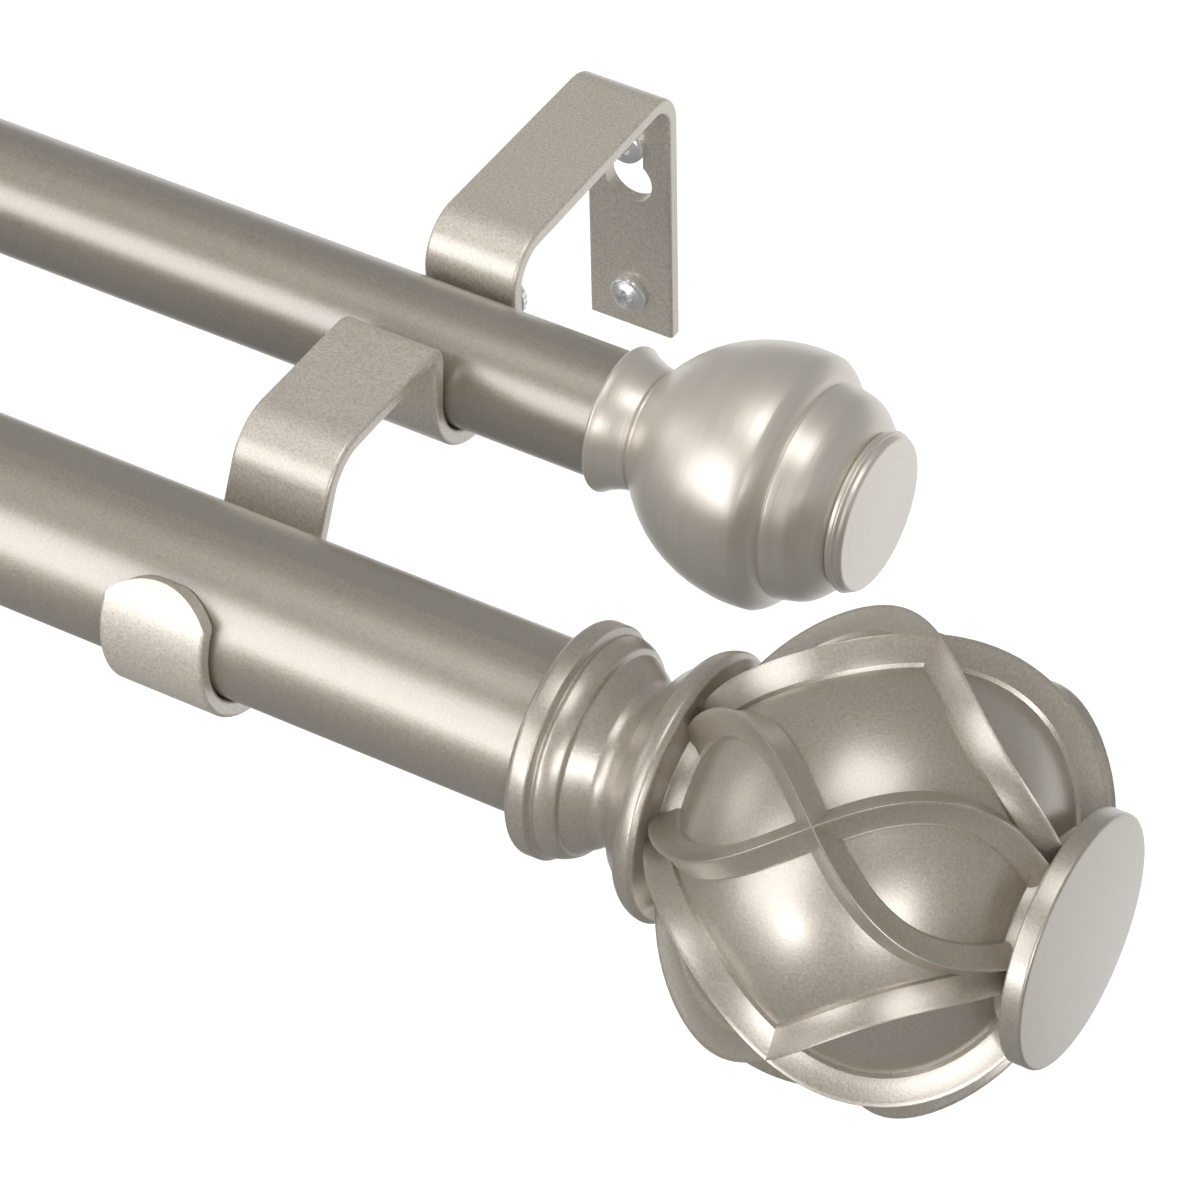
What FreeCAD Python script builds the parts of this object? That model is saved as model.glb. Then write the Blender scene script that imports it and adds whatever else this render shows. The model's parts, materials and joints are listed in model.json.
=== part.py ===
"""Double curtain pole: two telescoping poles on a pair of folded strip brackets.

X runs along the poles, +Y points at the wall and +Z is up. The origin is on the wall
plane, half way between the two screws of the right bracket. Sizes are in millimetres.
"""
import FreeCAD
import Part
import math
import os

V = FreeCAD.Vector

# Poles
front_pole_d = 25.4          # outer tube of the front pole
front_slider_d = 22.2        # inner tube that slides in it
rear_pole_d = 19.05
rear_slider_d = 15.9
tube_wall = 0.8
front_reach = 116.3          # wall to the front pole's axis
rear_reach = 57.8            # wall to the rear pole's axis
front_height = 12.9          # front axis above the middle of the bracket's screws
rear_height = 14.5
front_finial_at = 57.5       # right end of the front pole, from the right bracket
rear_finial_at = 31.3
closed_length = 711.0        # front pole without its finials, pushed together
outer_tube_gap = 36.0        # left bracket's middle to the end of the outer tubes
front_slider_inner_end = 20.0
rear_slider_inner_end = 5.0

# Bracket, one folded strip
strip_width_at_wall = 14.7
strip_width_in_front = 16.6  # at the front pole's axis
strip_thickness = 2.5
strip_edge_radius = 0.6
cup_clearance = 0.3
front_arm_rise = 12.9        # top of the front arm above the front pole's axis
rear_arm_rise = 12.5
front_drop_radius = 9.3      # outside of the bend from the front arm to its cup
rear_drop_radius = 7.5
front_cup_flare = 25.0       # how far the front cup's wall side leans out
rear_cup_lean = 5.0          # how far the rear cup's front side leans in over the pole
crest_bend_radius = 3.3      # outside of the bend between the rear cup and the front arm
wall_bend_radius = 6.5
tip_angle = 46.0             # how far the front cup's tip rises past the horizontal
tip_radius = 10.0
plate_drop = 21.0            # bottom edge below the middle of the screws
screw_spacing = 29.0
lower_hole_d = 4.6
keyhole_d = 8.2
keyhole_slot_width = 5.2
keyhole_below_screw = 7.0

# Screws
wall_screw_d = 4.0
wall_screw_length = 10.5
wall_screw_point = 1.5
wall_screw_head_d = 6.2
wall_screw_head_height = 2.2
set_screw_d = 4.0
set_screw_length = 9.6
set_screw_point = 0.4
set_screw_head_d = 7.4
set_screw_head_height = 2.3
set_screw_drop = 3.9         # below the right bracket's pole axis
set_screw_gap = 0.05         # tip to the pole it clamps
slide_gap = 0.3              # anything fixed to a tube that slides past it
thread_gap = 0.05
knurl_count = 24
knurl_depth = 0.3
head_crown = 0.6
head_edge = 0.6
recess_width = 0.9
recess_length = 3.6
recess_foot = 1.4
recess_depth = 1.3

# Plastic pieces in the tubes
fit_gap = 0.02               # a pressed piece in its tube
running_gap = 0.08           # a sliding piece in its guide
bush_length = 16.0
bush_lip = 1.2
glide_length = 10.0
glide_plug_length = 14.0
glide_wall = 1.6
plug_length = 14.0
stud_d = 6.0
stud_in_plug = 11.0
stud_in_finial = 12.0

# Front finial, measured from the end of the pole
flange_r = 16.9
flange_length = 3.4
neck_bead_r = 16.2
neck_bead_end_r = 15.2
neck_bead_end = 7.4
neck_r = 12.0
neck_at = 12.9
ring_r = 19.4
ring_at = 19.3
ring_foot_r = 16.7
ring_foot_at = 21.7
ring_root_r = 15.4
globe_r = 30.6               # the smooth panels, where they are widest
globe_profile_r = 25.6       # their outline from ring to cap
rib_height = 3.9             # the net's crests above the panels
rib_half_width = 2.3         # at the panels
rib_sink = 1.0               # how far a rib's foot lies under the panels
ribs_each_way = 6
rib_swing = 24.3             # degrees a rib turns from its crossing to either end
rib_crossing = 50.0          # degrees from the front of the pole up to one crossing
rib_lean = 0.06              # how much nearer the cap the crossings lie
cap_thickness = 3.1
cap_r = 17.9
cap_root_r = 14.0
cap_crown = 0.7

# Rear finial, measured from the end of the pole
collar_r = 11.0
collar_bead = 1.7
collar_neck_r = 9.5
collar_neck_at = 5.0
groove_r = 9.0
groove_end = 6.0
knob_r = 19.5
knob_at = 26.8
knob_start_r = 9.7
shoulder_r = 16.9
shoulder_at = 32.2
second_ring_r = 15.9
second_ring_at = 33.2
second_ring_end_r = 12.2
second_ring_end = 39.7
disc_r = 11.5
disc_back = 40.2
disc_groove = 0.35
disc_face = 42.4
disc_edge_radius = 0.6

left_end = front_finial_at - closed_length
end_step = front_finial_at - rear_finial_at
left_bracket_at = left_end + front_finial_at
outer_tube_end = left_bracket_at + outer_tube_gap
tube_step = (front_pole_d - front_slider_d) / 2
front_axis = (-front_reach, front_height)
rear_axis = (-rear_reach, rear_height)
profile_centre_r = globe_r - globe_profile_r
crest_profile_r = globe_profile_r + rib_height
globe_at = ring_foot_at + math.sqrt(crest_profile_r ** 2 - (ring_foot_r - profile_centre_r) ** 2)
cap_back = globe_at + math.sqrt(crest_profile_r ** 2 - (cap_r - profile_centre_r) ** 2)
cap_face = cap_back + cap_thickness
nodes = {}


def rod(radius, start, end, axis):
    """A solid cylinder along X, from x = start to x = end, on an axis (y, z)."""
    return Part.makeCylinder(radius, end - start, V(start, *axis), V(1, 0, 0))


def tube(outer, inner, start, end, axis):
    return rod(outer, start, end, axis).cut(rod(inner, start, end, axis))


def turned(steps):
    """Turn an outline about the X axis.

    steps starts with a point (x, r); then each entry is a point for a straight run,
    or a pair of points, through and end, for an arc.
    """
    edges = []
    here = steps[0]
    for step in steps[1:]:
        if isinstance(step[0], tuple):
            through, end = step
            points = [V(p[0], 0, p[1]) for p in (here, through, end)]
            edges.append(Part.Arc(*points).toShape())
        else:
            end = step
            edges.append(Part.makeLine(V(here[0], 0, here[1]), V(end[0], 0, end[1])))
        here = end
    face = Part.Face(Part.Wire(edges))
    return face.revolve(V(0, 0, 0), V(1, 0, 0), 360)


def on_circle(centre, radius, degrees):
    """Point (a, b) on a circle about a centre (a, b)."""
    turn = math.radians(degrees)
    return (centre[0] + radius * math.cos(turn), centre[1] + radius * math.sin(turn))


def crowned(x, radius, rise):
    """Arc step that closes an outline with a ball-shaped end rising from (x, radius)."""
    ball = (radius ** 2 + rise ** 2) / (2 * abs(rise))
    drop = ball - math.sqrt(ball ** 2 - (radius / 2) ** 2)
    return ((x + rise - math.copysign(drop, rise), radius / 2), (x + rise, 0))


def half_globe(radius):
    """Half the length of the globe's panels, as far as they narrow to a radius."""
    return math.sqrt(globe_profile_r ** 2 - (radius - profile_centre_r) ** 2)


# Tubes and what is inside them

def pole(name, outer_d, slider_d, axis, right_end, slider_end, left):
    """One telescoping pole: outer tube, slider and the plastic pieces in both."""
    outer_r = outer_d / 2
    bore_r = outer_r - tube_wall
    slider_r = slider_d / 2
    slider_bore_r = slider_r - tube_wall
    nodes[name + "_outer_tube"] = tube(outer_r, bore_r, outer_tube_end, right_end, axis)
    nodes[name + "_sliding_tube"] = tube(slider_r, slider_bore_r, left, slider_end, axis)

    guide_r = slider_r + running_gap
    sleeve_end = outer_tube_end + bush_length
    bush = tube(bore_r - fit_gap, guide_r, outer_tube_end, sleeve_end, axis)
    lip = tube(outer_r, guide_r, outer_tube_end - bush_lip, outer_tube_end, axis)
    nodes[name + "_end_bush"] = bush.fuse(lip).removeSplitter()

    collar = rod(bore_r - running_gap, slider_end, slider_end + glide_length, axis)
    shank = rod(slider_bore_r - fit_gap, slider_end - glide_plug_length, slider_end, axis)
    hollow = rod(slider_bore_r - glide_wall, slider_end - glide_plug_length,
                 slider_end + glide_length, axis)
    nodes[name + "_glide"] = collar.fuse(shank).cut(hollow).removeSplitter()

    right_plug = rod(bore_r - fit_gap, right_end - plug_length, right_end, axis)
    left_plug = rod(slider_bore_r - fit_gap, left, left + plug_length, axis)
    right_hole = rod(stud_d / 2 + thread_gap, right_end - plug_length, right_end, axis)
    left_hole = rod(stud_d / 2 + thread_gap, left, left + plug_length, axis)
    nodes[name + "_plug_right"] = right_plug.cut(right_hole)
    nodes[name + "_plug_left"] = left_plug.cut(left_hole)
    nodes[name + "_stud_right"] = rod(stud_d / 2, right_end - stud_in_plug,
                                      right_end + stud_in_finial, axis)
    nodes[name + "_stud_left"] = rod(stud_d / 2, left - stud_in_finial,
                                     left + stud_in_plug, axis)


# Finials

def stud_hole():
    return Part.makeCylinder(stud_d / 2 + thread_gap, stud_in_finial + 1,
                             V(0, 0, 0), V(1, 0, 0))


def front_core():
    """The turned body of the front finial, without its net."""
    return turned([
        (0, 0),
        (0, flange_r - 0.9),
        ((0.35, flange_r - 0.3), (1.2, flange_r)),
        (flange_length, flange_r),
        (flange_length + 0.5, neck_bead_r - 0.3),
        (flange_length + 1, neck_bead_r),
        ((5.6, neck_bead_r - 0.2), (neck_bead_end, neck_bead_end_r)),
        (neck_bead_end + 0.1, neck_bead_end_r - 0.6),
        ((neck_at - 2.2, neck_r + 0.7), (neck_at, neck_r)),
        ((neck_at + 1.1, neck_r + 0.4), (neck_at + 1.7, neck_r + 1.5)),
        ((ring_at - 2.4, ring_r - 1.9), (ring_at - 0.5, ring_r - 0.4)),
        (ring_at, ring_r),
        ((ring_at + 1.4, ring_r - 0.8), (ring_foot_at, ring_foot_r)),
        (ring_foot_at + 0.2, ring_root_r),
        (globe_at - half_globe(ring_root_r), ring_root_r),
        ((globe_at, globe_r), (globe_at + half_globe(cap_root_r), cap_root_r)),
        (cap_back, cap_root_r),
        (cap_back, cap_r - 0.2),
        (cap_back + 0.2, cap_r),
        (cap_face - 0.3, cap_r),
        (cap_face, cap_r - 0.3),
        crowned(cap_face, cap_r - 0.3, cap_crown),
        (0, 0),
    ])


def rib_line(x, crossing, direction, depth):
    """Point on a rib's middle line at x, that far below its crest, and the way out."""
    middle = (ring_foot_at + cap_back) / 2
    u = (x - middle) / (cap_back - middle)
    swing = rib_swing * math.sin(math.pi / 2 * (u - rib_lean * (1 - u ** 2)))
    turn = math.radians(crossing + direction * swing)
    rise = math.sqrt(crest_profile_r ** 2 - (x - globe_at) ** 2)
    radial = V(0, -math.cos(turn), math.sin(turn))
    centre = V(globe_at, 0, 0) + radial * profile_centre_r
    out = (V(x - globe_at, 0, 0) + radial * rise).normalize()
    return centre + out * (crest_profile_r - depth), out


def rib(crossing, direction):
    """One roof-shaped rib of the net, from inside the base ring to inside the cap."""
    start = (ring_at + ring_foot_at) / 2
    end = (cap_back + cap_face) / 2
    depth = rib_height + rib_sink
    spread = rib_half_width * depth / rib_height
    stations = 17
    lines = ([], [], [])
    for i in range(stations):
        x = start + (end - start) * i / (stations - 1)
        crest, out = rib_line(x, crossing, direction, 0)
        ahead = rib_line(x + 0.3, crossing, direction, 0)[0]
        behind = rib_line(x - 0.3, crossing, direction, 0)[0]
        side = (ahead - behind).cross(out).normalize()
        lines[0].append(crest)
        lines[1].append(crest - out * depth + side * spread)
        lines[2].append(crest - out * depth - side * spread)
    edges = []
    for line in lines:
        curve = Part.BSplineCurve()
        curve.interpolate(Points=line, Parameters=list(range(stations)))
        edges.append(curve.toShape())
    sides = [Part.makeRuledSurface(edges[a], edges[b]) for a, b in ((0, 1), (1, 2), (2, 0))]
    ends = [Part.Face(Part.makePolygon([line[i] for line in lines] + [lines[0][i]]))
            for i in (0, -1)]
    shell = Part.makeShell(sides + ends)
    shell.sewShape()
    solid = Part.Solid(shell)
    if solid.Volume < 0:
        solid.reverse()
    return solid


def front_finial():
    body = front_core()
    for i in range(ribs_each_way):
        crossing = rib_crossing + 360 / ribs_each_way * i
        for direction in (1, -1):
            body = body.fuse(rib(crossing, direction))
    return body.cut(stud_hole())


def rear_finial():
    groove_mid = (disc_back + disc_face) / 2
    return turned([
        (0, 0),
        (0, collar_r - 0.5),
        ((0.25, collar_r - 0.1), (0.7, collar_r)),
        ((1.3, collar_r - 0.05), (collar_bead, collar_r - 0.4)),
        ((3.0, collar_neck_r + 0.55), (collar_neck_at, collar_neck_r)),
        ((collar_neck_at + 0.5, groove_r + 0.1), (groove_end, groove_r)),
        (groove_end + 0.1, knob_start_r),
        ((14.6, 15.9), (knob_at, knob_r)),
        ((31.4, 18.9), (shoulder_at, shoulder_r)),
        ((33.3, 16.6), (second_ring_at, second_ring_r)),
        ((38.2, 15.0), (second_ring_end, second_ring_end_r)),
        (disc_back, disc_r - 0.6),
        (disc_back + 0.1, disc_r),
        (groove_mid - disc_groove, disc_r),
        ((groove_mid, disc_r - disc_groove), (groove_mid + disc_groove, disc_r)),
        (disc_face - disc_edge_radius, disc_r),
        ((disc_face - 0.3 * disc_edge_radius, disc_r - 0.3 * disc_edge_radius),
         (disc_face, disc_r - disc_edge_radius)),
        (disc_face, 0),
        (0, 0),
    ]).cut(stud_hole())


def set_at_ends(name, finial, axis, right, left):
    """One copy of a finial at each end of its pole."""
    at_right = finial.copy()
    at_right.translate(V(right, *axis))
    at_left = finial.copy()
    at_left.rotate(V(0, 0, 0), V(0, 0, 1), 180)
    at_left.translate(V(left, *axis))
    nodes[name + "_finial_right"] = at_right
    nodes[name + "_finial_left"] = at_left


# Brackets and screws

def strip_side(arcs, grow):
    """One side of the strip as edges: the arcs, each grown on its material side."""
    edges = []
    here = None
    for centre, radius, start, end, material in arcs:
        r = radius + material * grow
        first = on_circle(centre, r, start)
        middle = on_circle(centre, r, (start + end) / 2)
        last = on_circle(centre, r, end)
        if here is not None:
            edges.append(Part.makeLine(V(0, *here), V(0, *first)))
        edges.append(Part.Arc(V(0, *first), V(0, *middle), V(0, *last)).toShape())
        here = last
    return edges


def bracket():
    """The right bracket: tip, front cup, arm, rear cup, arm and wall plate in one strip."""
    front_cup_r = front_pole_d / 2 + cup_clearance
    rear_cup_r = rear_pole_d / 2 + cup_clearance
    front_top = front_height + front_arm_rise
    rear_top = rear_height + rear_arm_rise
    flare_end = on_circle(front_axis, front_cup_r + front_drop_radius, -front_cup_flare)
    flare_run = math.tan(math.radians(front_cup_flare))
    front_drop_z = front_top - front_drop_radius
    front_drop = (flare_end[0] + flare_run * (front_drop_z - flare_end[1]), front_drop_z)
    lean_end = on_circle(rear_axis, rear_cup_r + crest_bend_radius, 180 - rear_cup_lean)
    lean_run = math.tan(math.radians(rear_cup_lean))
    crest_z = front_top - crest_bend_radius
    crest = (lean_end[0] + lean_run * (crest_z - lean_end[1]), crest_z)
    rear_drop = (-rear_reach + rear_cup_r + rear_drop_radius, rear_top - rear_drop_radius)
    wall_bend = (-wall_bend_radius, rear_top - wall_bend_radius)
    arcs = [
        (front_axis, front_cup_r, 180 - tip_angle, 360 - front_cup_flare, 1),
        (front_drop, front_drop_radius, 180 - front_cup_flare, 90, -1),
        (crest, crest_bend_radius, 90, -rear_cup_lean, -1),
        (rear_axis, rear_cup_r, 180 - rear_cup_lean, 360, 1),
        (rear_drop, rear_drop_radius, 180, 90, -1),
        (wall_bend, wall_bend_radius, 90, 0, -1),
    ]
    upper = strip_side(arcs, 0)
    lower = strip_side(arcs, strip_thickness)
    corners = [V(0, *on_circle(front_axis, front_cup_r + grow, 180 - tip_angle))
               for grow in (0, strip_thickness)]
    plate_top = rear_top - wall_bend_radius
    foot = [V(0, y, -plate_drop) for y in (0, -strip_thickness)]
    upper.append(Part.makeLine(V(0, 0, plate_top), foot[0]))
    lower.append(Part.makeLine(V(0, -strip_thickness, plate_top), foot[1]))
    ends = [Part.makeLine(*corners), Part.makeLine(*foot)]
    outline = Part.Wire(Part.__sortEdges__(upper + lower + ends))
    strip = Part.Face(outline).extrude(V(2 * strip_width_in_front, 0, 0))
    strip.translate(V(-strip_width_in_front, 0, 0))
    strip = strip.common(taper()).cut(tip_cutter(front_cup_r))
    sides = [f for f in strip.Faces if abs(f.normalAt(0, 0).x) > 0.99]
    long_edges = [e for f in sides for e in f.Edges if abs(e.Length - strip_thickness) > 0.3]
    strip = strip.makeFillet(strip_edge_radius, long_edges)

    through = V(0, 1, 0)
    upper_screw = screw_spacing / 2
    holes = [Part.makeCylinder(lower_hole_d / 2, 20, V(0, -10, -upper_screw), through)]
    round_z = upper_screw - keyhole_below_screw
    holes.append(Part.makeCylinder(keyhole_d / 2, 20, V(0, -10, round_z), through))
    holes.append(Part.makeCylinder(keyhole_slot_width / 2, 20, V(0, -10, upper_screw), through))
    slot = Part.makeBox(keyhole_slot_width, 20, keyhole_below_screw)
    slot.translate(V(-keyhole_slot_width / 2, -10, round_z))
    holes.append(slot)
    for (y, z), cup_r in ((front_axis, front_cup_r), (rear_axis, rear_cup_r)):
        holes.append(Part.makeCylinder(set_screw_d / 2 + thread_gap, 8,
                                       V(0, y + cup_r - 3, z - set_screw_drop), through))
    return strip.cut(Part.Compound(holes)).removeSplitter()


def taper():
    """The strip's outline seen from above, as a block: it widens from the wall to the front."""
    per_mm = (strip_width_in_front - strip_width_at_wall) / 2 / front_reach
    near, far = 5, -front_reach - 30
    half_near = strip_width_at_wall / 2 - per_mm * near
    half_far = strip_width_at_wall / 2 - per_mm * far
    plan = Part.makePolygon([V(-half_near, near, -60), V(half_near, near, -60),
                             V(half_far, far, -60), V(-half_far, far, -60),
                             V(-half_near, near, -60)])
    return Part.Face(plan).extrude(V(0, 0, 120))


def tip_cutter(cup_r):
    """What is cut from the square end of the front cup to round it."""
    mid_r = cup_r + strip_thickness / 2
    back_turn = math.degrees(tip_radius / mid_r)
    end = on_circle(front_axis, mid_r, 180 - tip_angle)
    middle_angle = 180 - tip_angle + back_turn / 2
    normal = V(0, math.cos(math.radians(middle_angle)), math.sin(math.radians(middle_angle)))
    along = V(0, normal.z, -normal.y)
    apex = V(0, *end)
    centre = apex - along * tip_radius
    width = strip_width_in_front + 4
    block = Part.makeBox(width, 24, 3 * tip_radius, V(-width / 2, -12, 0))
    block.rotate(V(0, 0, 0), V(1, 0, 0), math.degrees(math.atan2(-along.y, along.z)))
    block.translate(centre)
    keep = Part.makeCylinder(tip_radius, 30, centre - normal * 15, normal)
    return block.cut(keep)


def screw(head_d, head_height, shank_d, length, point):
    """A cross-recess screw along +Y, with the head's seat at y = 0.

    point is how much the shank's radius shrinks towards its end.
    """
    head_r = head_d / 2
    shank_r = shank_d / 2
    shoulder = head_crown - head_height
    body = turned([
        (length, 0),
        (length, shank_r - point),
        (length - 2 * point, shank_r),
        (0, shank_r),
        (0, head_r),
        (-head_edge, head_r),
        ((0.6 * shoulder - 0.4 * head_edge, 0.94 * head_r), (shoulder, 0.75 * head_r)),
        crowned(shoulder, 0.75 * head_r, -head_crown),
        (length, 0),
    ])
    for turn in (0, 90):
        top = -head_height - 0.1
        deep = recess_depth - head_height
        half, foot = recess_length / 2, recess_foot / 2
        side = -recess_width / 2
        wing = Part.Face(Part.makePolygon([
            V(top, side, -half), V(top, side, half), V(deep, side, foot),
            V(deep, side, -foot), V(top, side, -half)])).extrude(V(0, recess_width, 0))
        wing.rotate(V(0, 0, 0), V(1, 0, 0), turn)
        body = body.cut(wing)
    body.rotate(V(0, 0, 0), V(0, 0, 1), 90)
    return body


def set_screw():
    """The screw that clamps a pole in its cup, with a straight knurl round its head."""
    body = screw(set_screw_head_d, set_screw_head_height, set_screw_d, set_screw_length,
                 set_screw_point)
    groove_at = set_screw_head_d / 2
    grooves = []
    for i in range(knurl_count):
        groove = Part.Face(Part.makePolygon([
            V(groove_at - knurl_depth, -set_screw_head_height, 0),
            V(groove_at + knurl_depth, -set_screw_head_height, knurl_depth),
            V(groove_at + knurl_depth, -set_screw_head_height, -knurl_depth),
            V(groove_at - knurl_depth, -set_screw_head_height, 0)]))
        groove = groove.extrude(V(0, set_screw_head_height + 0.1, 0))
        groove.rotate(V(0, 0, 0), V(0, 1, 0), 360 / knurl_count * i)
        grooves.append(groove)
    body = body.cut(Part.Compound(grooves))
    body.rotate(V(0, 0, 0), V(0, 0, 1), 180)
    return body


def place_bracket(side, x, lift, shape, front_r, rear_r, tip_gap):
    """A bracket with its wall screws and set screws; front_r and rear_r are the tubes'."""
    here = shape.copy()
    here.translate(V(x, 0, lift))
    nodes[side + "_bracket"] = here
    for name, z in (("upper", screw_spacing / 2), ("lower", -screw_spacing / 2)):
        wall_screw = screw(wall_screw_head_d, wall_screw_head_height, wall_screw_d,
                           wall_screw_length, wall_screw_point)
        wall_screw.translate(V(x, -strip_thickness, z + lift))
        nodes[side + "_wall_screw_" + name] = wall_screw
    for name, (y, z), r in (("front", front_axis, front_r), ("rear", rear_axis, rear_r)):
        off_axis = set_screw_drop - lift - (set_screw_d / 2 - set_screw_point)
        tip = y + math.sqrt(r ** 2 - off_axis ** 2) + tip_gap
        clamp = set_screw()
        clamp.translate(V(x, tip + set_screw_length, z - set_screw_drop + lift))
        nodes[side + "_set_screw_" + name] = clamp


pole("front", front_pole_d, front_slider_d, front_axis, front_finial_at,
     front_slider_inner_end, left_end)
pole("rear", rear_pole_d, rear_slider_d, rear_axis, rear_finial_at,
     rear_slider_inner_end, left_end + end_step)
set_at_ends("front", front_finial(), front_axis, front_finial_at, left_end)
set_at_ends("rear", rear_finial(), rear_axis, rear_finial_at, left_end + end_step)
strip_bracket = bracket()
place_bracket("right", 0, 0, strip_bracket, front_pole_d / 2, rear_pole_d / 2,
              set_screw_gap)
place_bracket("left", left_bracket_at, tube_step, strip_bracket, front_slider_d / 2,
              rear_slider_d / 2, slide_gap)

os.makedirs("parts", exist_ok=True)
for node, shape in nodes.items():
    shape.exportStep("parts/" + node + ".step")
    print(node, round(shape.Volume, 1), shape.isValid(), len(shape.Solids))
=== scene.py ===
# %% [markdown]
# # A double curtain pole in satin nickel
#
# The real object is two telescoping tubes on folded strip brackets. The thick pole in
# front ends in a ball wrapped in a net of ribs, and the thin pole behind ends in a knob
# that was turned on a lathe. The CAD model already has every part at its true size, so
# this script loads it as a fixed frame, gives each part its finish, and models again
# only the pieces that gain from finer edges: the finials.

# %% Load the packed model
import json
import math

import bmesh
import bpy
from mathutils import Matrix, Vector


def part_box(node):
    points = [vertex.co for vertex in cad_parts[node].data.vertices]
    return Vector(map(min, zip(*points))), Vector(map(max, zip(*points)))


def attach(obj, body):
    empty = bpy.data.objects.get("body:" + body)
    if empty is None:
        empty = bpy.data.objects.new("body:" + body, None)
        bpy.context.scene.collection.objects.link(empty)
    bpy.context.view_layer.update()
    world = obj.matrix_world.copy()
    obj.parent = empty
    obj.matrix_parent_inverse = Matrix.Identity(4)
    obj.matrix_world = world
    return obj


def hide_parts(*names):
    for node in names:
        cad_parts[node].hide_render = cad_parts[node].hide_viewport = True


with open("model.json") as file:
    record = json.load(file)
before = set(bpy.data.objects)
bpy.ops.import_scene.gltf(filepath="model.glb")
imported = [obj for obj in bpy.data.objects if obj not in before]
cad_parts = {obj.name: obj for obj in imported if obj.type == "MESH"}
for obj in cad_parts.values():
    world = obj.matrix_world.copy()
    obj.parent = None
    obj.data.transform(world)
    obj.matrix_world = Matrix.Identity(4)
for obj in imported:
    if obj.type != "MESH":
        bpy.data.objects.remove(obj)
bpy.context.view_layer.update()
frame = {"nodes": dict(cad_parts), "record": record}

MM = 0.001
print("CAD parts:", len(frame["nodes"]))

# %% [markdown]
# ## Shader maths as Python expressions
#
# A finish is easier to read as a formula than as a list of nodes and links. A Signal
# wraps one node output, so that `1 - mask` or `grain * 0.3` adds the Math nodes itself.
# Everything that isn't arithmetic comes from one method, `node`, which takes the node's
# type, its settings and what goes into its sockets.

# %% A wrapper for sockets
class Signal:
    """One node output that can stand in ordinary arithmetic."""

    def __init__(self, finish, socket):
        self.finish = finish
        self.socket = socket

    def math(self, operation, first, second=0.0):
        return self.finish.node("ShaderNodeMath", {"operation": operation}, {0: first, 1: second})

    def __add__(self, other):
        return self.math("ADD", self, other)

    __radd__ = __add__

    def __sub__(self, other):
        return self.math("SUBTRACT", self, other)

    def __rsub__(self, other):
        return self.math("SUBTRACT", other, self)

    def __mul__(self, other):
        return self.math("MULTIPLY", self, other)

    __rmul__ = __mul__

    def root(self):
        return self.math("SQRT", self)


print("reflected forms:", [name for name in vars(Signal) if name.startswith("__r")])

# %% A wrapper for a node tree
class Finish:
    """The nodes of one material or world."""

    def __init__(self, owner):
        owner.use_nodes = True
        self.owner = owner
        self.tree = owner.node_tree
        self.tree.nodes.clear()

    def node(self, kind, settings=None, inputs=None, output=0):
        made = self.tree.nodes.new(kind)
        for name, value in (settings or {}).items():
            if name == "stops":
                ramp = made.color_ramp
                while len(ramp.elements) < len(value):
                    ramp.elements.new(1.0)
                for element, (place, colour) in zip(ramp.elements, value):
                    element.position = place
                    element.color = (*colour, 1)
            else:
                setattr(made, name, value)
        for name, value in (inputs or {}).items():
            if isinstance(value, Signal):
                self.tree.links.new(value.socket, made.inputs[name])
            else:
                made.inputs[name].default_value = value
        return Signal(self, made.outputs[output])

    def place(self, offset=(0, 0, 0), scale=(1, 1, 1)):
        """Object coordinates, moved and then scaled."""
        here = self.node("ShaderNodeTexCoord", output="Object")
        moved = self.node("ShaderNodeVectorMath", {"operation": "SUBTRACT"}, {0: here, 1: offset})
        return self.node("ShaderNodeVectorMath", {"operation": "MULTIPLY"}, {0: moved, 1: scale})

    def noise(self, where, scale, detail, roughness=0.5):
        return self.node("ShaderNodeTexNoise", None,
                         {"Vector": where, "Scale": scale, "Detail": detail,
                          "Roughness": roughness})

    def blend(self, amount, low, high):
        """A colour between two colours."""
        return self.node("ShaderNodeMix", {"data_type": "RGBA"},
                         {"Factor": amount, 6: low, 7: high}, output=2)

    def output(self, shader, kind="ShaderNodeOutputMaterial"):
        made = self.tree.nodes.new(kind)
        self.tree.links.new(shader.socket, made.inputs["Surface"])
        return self.owner


print("wrapper ready:", [name for name in vars(Finish) if not name.startswith("_")])

# %% [markdown]
# ## The camera
#
# The photograph looks down on the right end of the poles from the front. The camera
# stands on the far side of the end finial, with a long lens, and leans by a degree and
# a third. Its direction is worked out from an azimuth and an elevation, and its three
# axes become the columns of its matrix.

# %% Camera at the photograph's angle
camera_at = Vector((358.56, -594.63, 556.38)) * MM
azimuth, elevation, lean = (math.radians(a) for a in (31.68, 42.55, -1.36))
back = Vector((math.sin(azimuth) * math.cos(elevation),
               -math.cos(azimuth) * math.cos(elevation), math.sin(elevation)))
level = Vector((math.cos(azimuth), math.sin(azimuth), 0))
upright = back.cross(level)
right = math.cos(lean) * level + math.sin(lean) * upright
up = -math.sin(lean) * level + math.cos(lean) * upright

camera = bpy.data.objects.new("camera", bpy.data.cameras.new("camera"))
bpy.context.scene.collection.objects.link(camera)
camera.data.sensor_width = 36
camera.data.lens = 174
camera.data.clip_end = 50
camera.matrix_world = Matrix.Translation(camera_at) @ Matrix((right, up, back)).transposed().to_4x4()
bpy.context.scene.camera = camera
print("camera to origin:", round(camera_at.length, 3), "m, lens", camera.data.lens, "mm")

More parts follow.
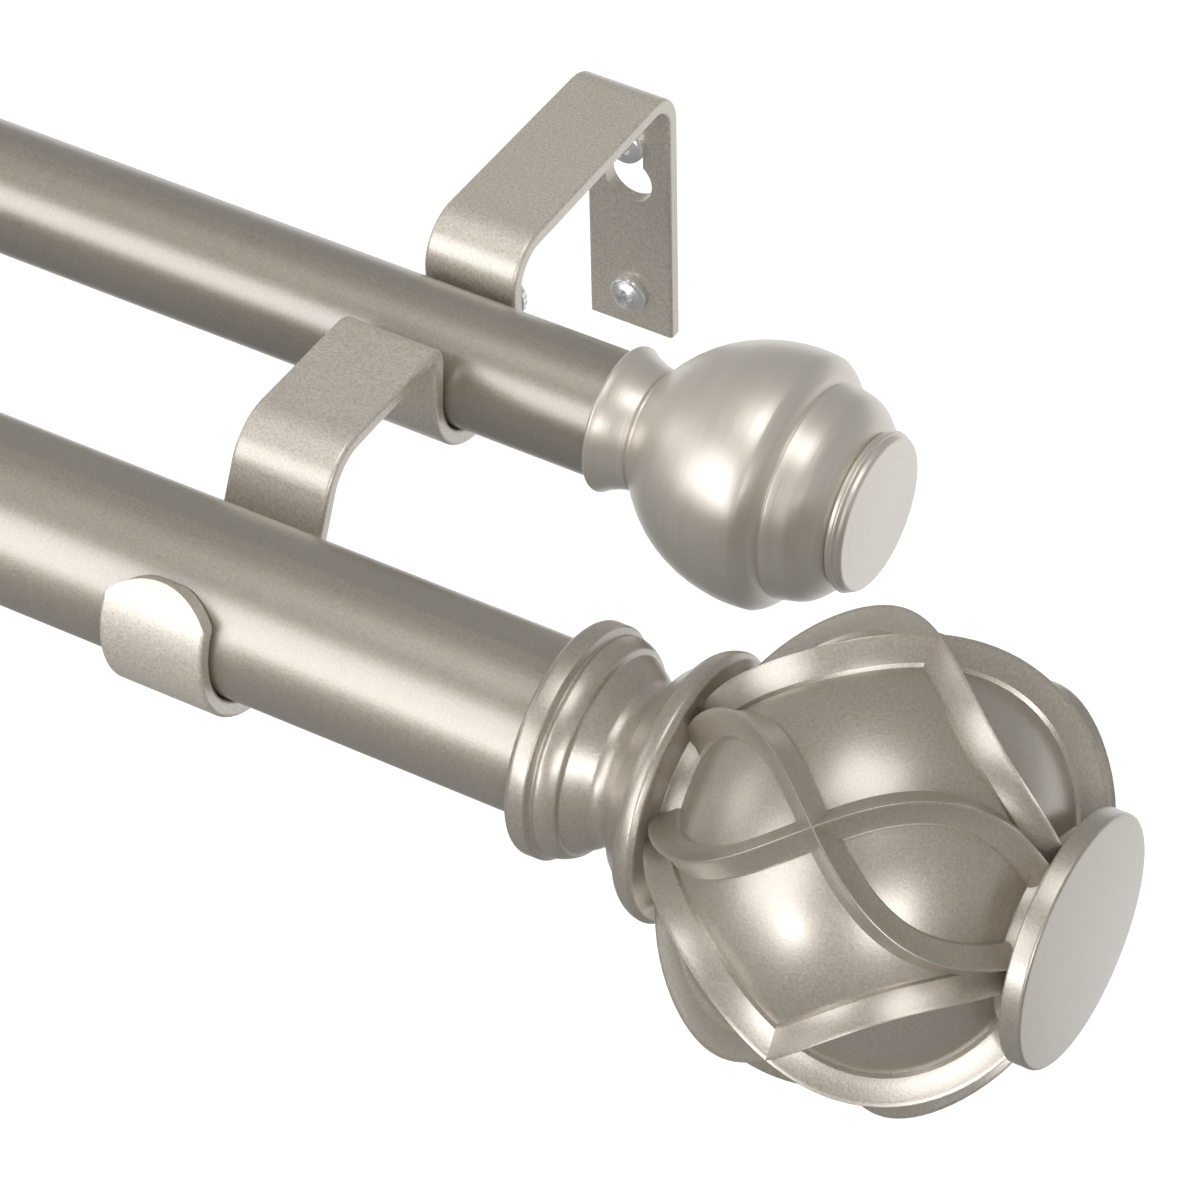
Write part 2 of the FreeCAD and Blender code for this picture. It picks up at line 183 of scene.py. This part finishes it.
# %% [markdown]
# ## Studio light
#
# Satin metal is mostly a picture of what stands round it. The long highlight on both
# tubes and the one on the knob agree on a large soft box in front and to the left. A low
# box under it fills the highlight's lower edge, a box to the front right opens the cap,
# the disc and the plate, a weak one on the left lifts the finials' left sides, and an
# overhead box evens the tops of the arms. The boxes could be lit cards, but area lamps
# make less noise. The room is a plain grey, slightly darker overhead. The floor shows
# white to the camera. In reflections it glows faintly in front of the wall and brightly
# behind it, a painted reflection that gives the tubes their brown-grey undersides.

# %% Soft boxes
target = Vector((0.02, -0.09, 0.01))
BOX_DISTANCE = 2.4


def soft_box(name, direction, width, height, power, colour=(1, 1, 1)):
    """An area lamp that faces the finials from a direction; metres and watts."""
    lamp = bpy.data.lights.new(name, "AREA")
    lamp.shape = "RECTANGLE"
    lamp.size, lamp.size_y = width, height
    lamp.energy = power
    lamp.color = colour
    box = bpy.data.objects.new(name, lamp)
    away = Vector(direction).normalized()
    box.location = target + away * BOX_DISTANCE
    box.rotation_euler = away.to_track_quat("Z", "Y").to_euler()
    box.visible_camera = False
    bpy.context.scene.collection.objects.link(box)
    return box


soft_boxes = [
    soft_box("key", (-0.48, -0.82, 0.32), 1.6, 1.9, 24, (0.975, 0.98, 1.0)),
    soft_box("low front", (-0.17, -0.98, 0.03), 0.6, 0.5, 8),
    soft_box("front right", (0.62, -0.73, 0.24), 1.1, 0.9, 17),
    soft_box("left", (-0.95, -0.20, 0.28), 0.8, 0.8, 2.5),
    soft_box("overhead", (0.0, -0.15, 1.0), 1.6, 1.2, 16),
]
print("lamps:", [box.name for box in soft_boxes])

# %% Room
room = Finish(bpy.data.worlds.new("room"))
bpy.context.scene.world = room.owner
heading = room.node("ShaderNodeTexCoord", output="Generated")
height = room.node("ShaderNodeSeparateXYZ", None, {0: heading}, output="Z")
tone = room.node("ShaderNodeValToRGB",
                 {"stops": [(0.30, (0.50, 0.50, 0.50)), (0.55, (0.40, 0.40, 0.395)),
                            (0.85, (0.36, 0.36, 0.355))]},
                 {"Fac": height * 0.5 + 0.5})
path = room.node("ShaderNodeLightPath", output="Is Camera Ray")
glass = room.node("ShaderNodeLightPath", output="Is Transmission Ray")
seen = room.blend(path + glass, tone, (1, 1, 1, 1))
room.output(room.node("ShaderNodeBackground", None, {"Color": seen, "Strength": 1.0}),
            "ShaderNodeOutputWorld")
print("room:", room.owner.name)

# %% Floor
FLOOR_Z, FLOOR_HALF = -0.3, 9
PAPER_TONE = 0.28
# Where the floor's painted reflection turns from faint to bright, and how strongly it glows
DARK_UP_TO, BRIGHT_FROM = -0.04, 0.16
WHITE_SEEN, LEAST_MIRRORED, MIRRORED_RISE = 0.95, 0.04, 0.8

ground = bmesh.new()
bmesh.ops.create_grid(ground, x_segments=1, y_segments=1, size=FLOOR_HALF,
                      matrix=Matrix.Translation((0, 0, FLOOR_Z)))
floor_mesh = bpy.data.meshes.new("floor")
ground.to_mesh(floor_mesh)
ground.free()
floor = bpy.data.objects.new("floor", floor_mesh)
bpy.context.scene.collection.objects.link(floor)

paper = Finish(bpy.data.materials.new("paper"))
lit = paper.node("ShaderNodeBsdfDiffuse", None,
                 {"Color": (PAPER_TONE, PAPER_TONE, PAPER_TONE, 1)})
direct, mirrored, through = [paper.node("ShaderNodeLightPath", output=name)
                             for name in ("Is Camera Ray", "Is Glossy Ray", "Is Transmission Ray")]
# Painted reflection: for glossy rays only, the floor glows faintly in front of the wall and brightly
# behind it
depth = paper.node("ShaderNodeSeparateXYZ", None, {0: paper.place()}, output="Y")
painted_reflection_behind = paper.node("ShaderNodeMapRange", {"interpolation_type": "SMOOTHSTEP"},
                    {"Value": depth, "From Min": DARK_UP_TO, "From Max": BRIGHT_FROM})
glow = paper.node("ShaderNodeEmission", None, {
    "Color": (1, 1, 1, 1),
    "Strength": ((direct + through) * WHITE_SEEN
                 + mirrored * (painted_reflection_behind * MIRRORED_RISE + LEAST_MIRRORED))})
floor_mesh.materials.append(paper.output(
    paper.node("ShaderNodeAddShader", None, {0: lit, 1: glow})))
print("floor at", FLOOR_Z, "m, stage only")

# %% [markdown]
# ## Finishes
#
# Satin nickel here is a pearly lacquer over metal: warm grey-brown where it reflects
# nothing bright, and almost white in the highlight. One broad warm base with a whiter
# coat over it gives both. The lacquer's metal flakes show as a fine speckle. It could be
# a texture of dots, but a noise a third of a millimetre wide looks the same from arm's
# length: it moves the colour, the roughness and the bump together. A slower noise keeps
# large faces from looking printed.

# %% Satin lacquer
FLAKES_PER_METRE, CLOUDS_PER_METRE = 2700, 45
CLOUD_SHARE, STREAK_SHARE, STREAK_HEIGHT = 0.2, 0.35, 0.5
DARKER, LIGHTER = 0.72, 1.28
FLAKE_DEPTH = 0.08 * MM


def shade_of(colour, amount):
    """A colour made darker or lighter by a factor."""
    return (*(channel * amount for channel in colour), 1)


def satin(name, colour, rough, metallic, flake=1.2, relief=0.34, streaks=None):
    """Warm pearly lacquer with metal flakes; streaks is a scale for brushed lines."""
    finish = Finish(bpy.data.materials.new(name))
    here = finish.place()
    speckle = finish.noise(here, FLAKES_PER_METRE, 1.0)
    cloud = finish.noise(here, CLOUDS_PER_METRE, 3.0)
    mark = (speckle - 0.5) * flake + (cloud - 0.5) * CLOUD_SHARE + 0.5
    height = speckle
    if streaks is not None:
        lines = finish.noise(finish.place(scale=streaks), 1.0, 3.0, 0.6)
        mark = mark + (lines - 0.5) * STREAK_SHARE
        height = speckle + lines * STREAK_HEIGHT
    bumped = finish.node("ShaderNodeBump", None,
                         {"Strength": relief, "Distance": FLAKE_DEPTH, "Height": height})
    surface = finish.node("ShaderNodeBsdfPrincipled", None, {
        "Base Color": finish.blend(mark, shade_of(colour, DARKER), shade_of(colour, LIGHTER)),
        "Metallic": metallic, "Roughness": (speckle - 0.5) * 0.2 + rough,
        "Coat Weight": 1.0, "Coat Roughness": 0.3, "Coat IOR": 2.25,
        "Normal": bumped})
    return finish.output(surface)


finishes = {
    "pole": satin("pole_lacquer", (0.345, 0.30, 0.24), 0.42, 0.6, streaks=(2600, 160, 160)),
    "bracket": satin("bracket_lacquer", (0.66, 0.595, 0.50), 0.50, 0.48, flake=1.5, relief=0.5),
    "moulded_finial": satin("finial_lacquer", (0.41, 0.36, 0.29), 0.40, 0.6),
}
print("lacquers:", [m.name for m in finishes.values()])

# %% [markdown]
# ## Turned metal, zinc and the parts inside
#
# The knob behind was turned on a lathe, which leaves rings round its axis. Distance
# from the axis and place along it don't change round the knob, so a noise on those two
# alone draws the rings. A slow drift round the knob keeps them from looking printed. The
# screws are bright zinc, the studs plain steel, and the plugs, glides and bushes grey
# plastic.

# %% Turned nickel with lathe rings
rear_low, rear_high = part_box("rear_outer_tube")
rear_axis = ((rear_low + rear_high) / 2).yz
FINE_RINGS, WIDE_RINGS = 2600, 420
FINE_DRIFT, WIDE_DRIFT = 25, 12
RING_ROUGHNESS = 0.16


def turned(name, base, shade, rough):
    """Metal with fine and wide rings about the rear pole's axis, counted per metre."""
    finish = Finish(bpy.data.materials.new(name))
    here = finish.place(offset=(0, *rear_axis))
    parts = [finish.node("ShaderNodeSeparateXYZ", None, {0: here}, output=o) for o in "XYZ"]
    radius = (parts[1] * parts[1] + parts[2] * parts[2]).root()
    spot = finish.node("ShaderNodeCombineXYZ", None,
                       {0: parts[0] * FINE_RINGS, 1: radius * FINE_RINGS,
                        2: parts[1] * FINE_DRIFT})
    rings = finish.noise(spot, 1.0, 3.0, 0.65)
    band = finish.node("ShaderNodeCombineXYZ", None,
                       {0: parts[0] * WIDE_RINGS, 1: radius * WIDE_RINGS,
                        2: parts[2] * WIDE_DRIFT})
    wide = finish.noise(band, 1.0, 2.0)
    mark = (rings - 0.5) * 0.7 + (wide - 0.5) * 0.5 + 0.5
    relief = finish.node("ShaderNodeBump", None,
                         {"Strength": 0.45, "Distance": 0.1 * MM, "Height": rings})
    surface = finish.node("ShaderNodeBsdfPrincipled", None, {
        "Base Color": finish.blend(mark, shade, base), "Metallic": 0.7,
        "Roughness": rings * RING_ROUGHNESS + (rough - RING_ROUGHNESS / 2), "Coat Weight": 1.0,
        "Coat Roughness": 0.34, "Coat IOR": 2.1, "Normal": relief})
    return finish.output(surface)


finishes["turned_finial"] = turned("turned_nickel", (0.82, 0.755, 0.67, 1),
                                   (0.64, 0.58, 0.50, 1), 0.42)
print("rings about y, z =", [round(v / MM, 2) for v in rear_axis], "mm")

# %% Zinc, steel and plastic
def plain(name, base, shade, rough, metallic, scale, bump=0.05):
    """A simple metal or plastic with a fine uneven grain."""
    finish = Finish(bpy.data.materials.new(name))
    grain = finish.noise(finish.place(), scale, 3.0)
    relief = finish.node("ShaderNodeBump", None,
                         {"Strength": bump, "Distance": 0.2 * MM, "Height": grain})
    surface = finish.node("ShaderNodeBsdfPrincipled", None, {
        "Base Color": finish.blend(grain, shade, base), "Metallic": metallic,
        "Roughness": (grain - 0.5) * 0.2 + rough, "Normal": relief})
    return finish.output(surface)


finishes["zinc_screw"] = plain("bright_zinc", (0.95, 0.95, 0.94, 1), (0.84, 0.84, 0.84, 1),
                               0.30, 0.9, 900)
finishes["plain_steel"] = plain("plain_steel", (0.62, 0.62, 0.62, 1), (0.48, 0.48, 0.49, 1),
                                0.35, 1.0, 700)
finishes["grey_plastic"] = plain("grey_plastic", (0.30, 0.29, 0.28, 1), (0.24, 0.235, 0.23, 1),
                                 0.5, 0.0, 500, 0.08)
slot_of = {part["node"]: part["material_slot"] for part in frame["record"]["subparts"]}
for name, node in frame["nodes"].items():
    node.data.materials.clear()
    node.data.materials.append(finishes[slot_of[name]])
print("finishes given to", len(frame["nodes"]), "CAD parts")

# %% [markdown]
# ## Turned bodies
#
# Both finials start on a lathe, so their bodies are surfaces of revolution. The outline
# is a chain of straight runs and arcs from the stud hole round to the tip. It could be
# drawn as a curve and given a Screw modifier, but `bmesh.ops.spin` turns the chain of
# edges directly and leaves a plain mesh. Corners that turn sharply are rounded in the
# chain, over about a quarter of a millimetre to each side, because no cast or turned edge
# is perfectly sharp, and that thin line of light is what the eye reads as metal. Blender's
# bevel could do it afterwards, but where two edges lie close it narrows all of them.

# %% Outlines of lines and arcs
def arc_steps(start, through, end, degrees=5):
    """Points on the circle through three points, after the start."""
    (ax, ay), (bx, by), (cx, cy) = start, through, end
    twice = 2 * (ax * (by - cy) + bx * (cy - ay) + cx * (ay - by))
    a, b, c = ax * ax + ay * ay, bx * bx + by * by, cx * cx + cy * cy
    centre = Vector((a * (by - cy) + b * (cy - ay) + c * (ay - by),
                     a * (cx - bx) + b * (ax - cx) + c * (bx - ax))) / twice
    first, last = Vector(start) - centre, Vector(end) - centre
    sweep = -first.angle_signed(last)
    steps = max(2, round(math.degrees(abs(sweep)) / degrees))
    points = []
    for i in range(1, steps + 1):
        turn = Matrix.Rotation(sweep * i / steps, 2)
        points.append(tuple(centre + turn @ first))
    return points


def outline(*runs):
    """A chain of points (x, r): each run is a point, or (through, end) for an arc."""
    chain = [runs[0]]
    for run in runs[1:]:
        chain += arc_steps(chain[-1], *run) if isinstance(run[0], tuple) else [run]
    return chain


quarter = arc_steps((1, 0), (math.sqrt(0.5), math.sqrt(0.5)), (0, 1), 15)
print("quarter circle in", len(quarter), "steps, ends at", [round(v, 3) for v in quarter[-1]])

# %% Rounding an outline's corners
SHARP = math.radians(28)
EASE_STEPS = 5


def eased(chain, edge):
    """The chain with every sharp corner rounded over a distance to both sides."""
    points = [Vector(point) for point in chain]
    runs = [b - a for a, b in zip(points, points[1:])]
    marks = [0.0]
    for run in runs:
        marks.append(marks[-1] + run.length)

    def at(mark):
        """The point at a distance along the chain."""
        i = max(k for k in range(len(runs)) if marks[k] <= mark)
        return points[i] + runs[i] * ((mark - marks[i]) / runs[i].length)

    corners = [i for i in range(1, len(runs)) if runs[i - 1].angle(runs[i]) > SHARP]
    limits = [0.0, *(marks[i] for i in corners), marks[-1]]
    cuts = [(i, marks[i] - min(edge, (marks[i] - before) / 2),
             marks[i] + min(edge, (after - marks[i]) / 2))
            for i, before, after in zip(corners, limits, limits[2:])]
    kept = [(mark, point) for mark, point in zip(marks, points)
            if not any(low <= mark <= high for _, low, high in cuts)]
    for i, low, high in cuts:
        for t in (step / EASE_STEPS for step in range(EASE_STEPS + 1)):
            bend = at(low).lerp(points[i], t).lerp(points[i].lerp(at(high), t), t)
            kept.append((low + (high - low) * t, bend))
    return [tuple(point) for _, point in sorted(kept, key=lambda item: item[0])]


print("a square corner, eased:", len(eased([(0, 0), (10, 0), (10, 10)], 0.3)), "points")

# %% Spinning an outline about X and setting it on a pole
SAME_POINT = 1e-4


def spun(chain, steps, edge):
    """A bmesh, in millimetres, turned about the X axis, with its corners rounded."""
    body = bmesh.new()
    line = [body.verts.new((x, 0, r)) for x, r in eased(chain, edge)]
    edges = [body.edges.new(pair) for pair in zip(line, line[1:])]
    bmesh.ops.spin(body, geom=line + edges, cent=(0, 0, 0), axis=(1, 0, 0), dvec=(0, 0, 0),
                   angle=2 * math.pi, steps=steps, use_merge=True, use_duplicate=False)
    bmesh.ops.remove_doubles(body, verts=body.verts, dist=SAME_POINT)
    bmesh.ops.recalc_face_normals(body, faces=body.faces)
    return body


def piece(name, body, at, turned_round, finish, rider, node):
    """Set a bmesh in millimetres on a pole's end, as an object at the origin."""
    place = Matrix.Translation(at) @ Matrix.Scale(MM, 4)
    if turned_round:
        place = place @ Matrix.Rotation(math.pi, 4, "Z")
    bmesh.ops.transform(body, matrix=place, verts=body.verts)
    mesh = bpy.data.meshes.new(name)
    body.to_mesh(mesh)
    body.free()
    mesh.shade_smooth()
    mesh.set_sharp_from_angle(angle=SHARP)
    mesh.materials.append(finish)
    made = bpy.data.objects.new(name, mesh)
    bpy.context.scene.collection.objects.link(made)
    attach(made, rider)
    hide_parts(node)
    return made


print("edges over", round(math.degrees(SHARP)), "degrees are shaded sharp")

# %% [markdown]
# ## The knob behind
#
# The rear finial is one turned piece: a flared collar against the pole's end, a narrow
# groove, a round knob that swells to its widest near the tip, two soft rings and a flat
# disc. Its outline is written form by form, in millimetres from the pole's end.

# %% The rear finial's outline
HOLE_R, HOLE_DEPTH = 3.05, 13
stud_hole = ((HOLE_DEPTH, 0), (HOLE_DEPTH, HOLE_R), (0, HOLE_R))
collar = ((0, 10.4), ((0.2, 10.85), (0.7, 11.0)), ((3.1, 9.75), (5.8, 9.15)))
groove = ((6.0, 8.7), (6.6, 8.7))
swell = ((6.7, 9.5), ((9.2, 12.4), (12.0, 14.83)), ((17.0, 17.55), (22.0, 18.9)),
         ((25.5, 19.24), (28.6, 19.05)), ((30.1, 18.0), (31.2, 16.5)))
two_rings = ((31.5, 15.9), (31.9, 16.25), ((33.0, 15.95), (34.0, 15.7)),
             ((35.6, 15.25), (37.0, 14.4)), ((38.2, 13.25), (39.4, 11.9)), (39.8, 10.9))
disc = ((39.9, 11.7), (40.6, 11.7), ((40.95, 11.35), (41.3, 11.7)), (41.7, 11.65),
        ((42.15, 11.45), (42.4, 11.0)), (42.4, 0))
knob_outline = outline(*stud_hole, *collar, *groove, *swell, *two_rings, *disc)
print("knob outline:", len(knob_outline), "points, widest", max(r for x, r in knob_outline), "mm")

# %% Turn a knob for each end of the rear pole
KNOB_STEPS, KNOB_EDGE = 112, 0.2


def pole_end(node, side):
    """The middle of a tube's right or left end."""
    low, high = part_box(node)
    middle = (low + high) / 2
    return Vector((high.x if side == "right" else low.x, middle.y, middle.z))


for side, tube, rider in (("right", "rear_outer_tube", "brackets_and_outer_tubes"),
                          ("left", "rear_sliding_tube", "rear_slider")):
    knob = piece("turned_knob_" + side, spun(knob_outline, KNOB_STEPS, KNOB_EDGE),
                 pole_end(tube, side), side == "left", finishes["turned_finial"],
                 rider, "rear_finial_" + side)
    print(knob.name, "has", len(knob.data.polygons), "faces")

# %% [markdown]
# ## The netted ball in front
#
# The front finial is cast: a flange, a cove and a ring with three crisp edges carry a
# barrel-shaped ball, and a cap closes it. Two sets of six ribs wind round the ball in
# opposite senses and cross each other like a net. Each rib is a little roof with hollow
# sides and a narrow crest. A rib could be a bevelled curve, but a bevelled curve turns its
# section where the path winds. Here one section face is extruded station by station, and
# each step's transform is worked out from the ball, so the crest always points straight
# out.

# %% Sizes of the ball and its cap
ball_r, ball_centre_r = 25.6, 5.0
rib_height, rib_sink = 3.9, 1.0
crest_r = ball_r + rib_height
ring_r = 19.4
ring_foot_r, ring_foot_at = 16.7, 21.7
root_r, root_step = 13.8, 0.2
cap_r, cap_root_r, cap_thickness, cap_crown = 17.9, 14.0, 3.1, 0.7
cap_back_edge, cap_face_edge = 0.2, 0.3
face_r = cap_r - cap_face_edge
ball_at = ring_foot_at + math.sqrt(crest_r ** 2 - (ring_foot_r - ball_centre_r) ** 2)
cap_back = ball_at + math.sqrt(crest_r ** 2 - (cap_r - ball_centre_r) ** 2)
cap_face = cap_back + cap_thickness
print("ball from", round(ring_foot_at, 1), "to", round(cap_back, 1), "mm, crest circle", crest_r)

# %% The body under the net
BALL_STEPS, BALL_EDGE = 144, 0.24


def ball_reach(r):
    """Half the ball's length, as far as it has narrowed to a radius."""
    return math.sqrt(ball_r ** 2 - (r - ball_centre_r) ** 2)


def crown(r, half_r, rise):
    """How far a shallow dome over radius r has risen at a smaller radius."""
    sphere = (r * r + rise * rise) / (2 * rise)
    return rise - (sphere - math.sqrt(sphere ** 2 - half_r ** 2))


flange = ((0, 16.0), ((0.35, 16.6), (1.2, 16.95)), (3.3, 16.9), (3.8, 15.7), (4.5, 16.05),
          ((5.8, 15.7), (7.1, 14.95)), (7.3, 14.2))
cove = (((8.9, 13.3), (10.5, 12.15)), ((11.8, 11.9), (13.3, 12.4)), (14.6, 13.2))
crisp_ring = ((15.0, 15.0), (17.5, 17.2), (17.8, 18.1), ((19.2, 19.1), (20.7, ring_r)),
              (21.5, 18.8), (ring_foot_at, ring_foot_r), (ring_foot_at + root_step, root_r))
globe = ((ball_at - ball_reach(root_r), root_r),
         ((ball_at, ball_centre_r + ball_r), (ball_at + ball_reach(cap_root_r), cap_root_r)))
cap = ((cap_back, cap_root_r), (cap_back, cap_r - cap_back_edge),
       (cap_back + cap_back_edge, cap_r), (cap_face - cap_face_edge, cap_r), (cap_face, face_r),
       ((cap_face + crown(face_r, face_r / 2, cap_crown), face_r / 2),
        (cap_face + cap_crown, 0)))
ball_outline = outline(*stud_hole, *flange, *cove, *crisp_ring, *globe, *cap)
print("ball outline:", len(ball_outline), "points")

# %% One station of a rib
CROSSING, SWING, LEAN = 50.0, 24.3, 0.06
RIB_ROOT, NUDGE = 1.2, 0.3
rib_start, rib_end = ring_foot_at - RIB_ROOT, (cap_back + cap_face) / 2
rib_middle = (ring_foot_at + cap_back) / 2


def crest_point(x, sense):
    """A point on a rib's crest, and the direction straight out of the ball there."""
    along = (x - rib_middle) / (cap_back - rib_middle)
    swing = SWING * math.sin(math.pi / 2 * (along - LEAN * (1 - along ** 2)))
    turn = math.radians(CROSSING + sense * swing)
    radial = Vector((0, -math.cos(turn), math.sin(turn)))
    rise = math.sqrt(crest_r ** 2 - (x - ball_at) ** 2)
    out = (Vector((x - ball_at, 0, 0)) + radial * rise).normalized()
    return Vector((ball_at, 0, 0)) + radial * ball_centre_r + out * crest_r, out


def station(x, sense):
    """The frame that a rib's section stands in: sideways, outward and along."""
    point, out = crest_point(x, sense)
    ahead = crest_point(x + NUDGE, sense)[0] - crest_point(x - NUDGE, sense)[0]
    sideways = ahead.cross(out).normalized()
    frame_here = Matrix((sideways, out, sideways.cross(out))).transposed().to_4x4()
    frame_here.translation = point
    return frame_here


print("a rib turns by", 2 * SWING, "degrees from the ring to the cap")

# %% Extrude one rib
RIB_STEPS = 44
rib_section = ((0, 0), (0.36, -0.62), (1.05, -2.1), (2.1, -3.35), (2.3, -rib_height - rib_sink))


def rib(net, crest, sense):
    """One rib: its section face extruded from inside the ring to inside the cap."""
    half = [net.verts.new((a, b, 0)) for a, b in rib_section]
    other = [net.verts.new((-a, b, 0)) for a, b in rib_section[:0:-1]]
    half[0][crest] = 1
    face = net.faces.new(half + other)
    places = [station(rib_start + (rib_end - rib_start) * i / RIB_STEPS, sense)
              for i in range(RIB_STEPS + 1)]
    bmesh.ops.transform(net, matrix=places[0], verts=list(face.verts))
    first = face
    for here, there in zip(places, places[1:]):
        grown = bmesh.ops.extrude_face_region(net, geom=[face])["geom"]
        if face is not first:
            bmesh.ops.delete(net, geom=[face], context="FACES_ONLY")
        face = next(item for item in grown if isinstance(item, bmesh.types.BMFace))
        bmesh.ops.transform(net, matrix=there @ here.inverted(), verts=list(face.verts))


print("a rib's section has", 2 * len(rib_section) - 1, "corners")

# %% Repeat the ribs round the ball
RIBS_EACH_WAY = 6
CREST_EDGE = 0.25


def netting():
    """All the ribs as a mesh: one crossing pair, then its copies round the axis."""
    net = bmesh.new()
    crest = net.verts.layers.int.new("crest")
    for sense in (1, -1):
        rib(net, crest, sense)
    ridge = [e for e in net.edges if all(v[crest] for v in e.verts)]
    bmesh.ops.bevel(net, geom=ridge, offset=CREST_EDGE, offset_type="OFFSET", segments=3,
                    profile=0.5, material=-1, affect="EDGES", clamp_overlap=True)
    net.verts.layers.int.remove(net.verts.layers.int["crest"])
    bmesh.ops.spin(net, geom=net.verts[:] + net.edges[:] + net.faces[:], cent=(0, 0, 0),
                   axis=(1, 0, 0), dvec=(0, 0, 0), steps=RIBS_EACH_WAY - 1,
                   angle=2 * math.pi * (RIBS_EACH_WAY - 1) / RIBS_EACH_WAY,
                   use_duplicate=True, use_merge=False)
    bmesh.ops.recalc_face_normals(net, faces=net.faces)
    mesh = bpy.data.meshes.new("netting")
    net.to_mesh(mesh)
    net.free()
    return mesh


net_mesh = netting()
print("the net has", len(net_mesh.polygons), "faces")

# %% Set a netted ball on each end of the front pole
for side, tube, rider in (("right", "front_outer_tube", "brackets_and_outer_tubes"),
                          ("left", "front_sliding_tube", "front_slider")):
    body = spun(ball_outline, BALL_STEPS, BALL_EDGE)
    body.from_mesh(net_mesh)
    ball = piece("netted_ball_" + side, body, pole_end(tube, side), side == "left",
                 finishes["moulded_finial"], rider, "front_finial_" + side)
    print(ball.name, "has", len(ball.data.polygons), "faces")
bpy.data.meshes.remove(net_mesh)

# %% [markdown]
# ## Finish
#
# The default view softens bright colours, as film does. The Standard view shows them as
# they are written, which suits a part that will stand under other lights.

# %% Finish
bpy.context.scene.view_settings.view_transform = "Standard"
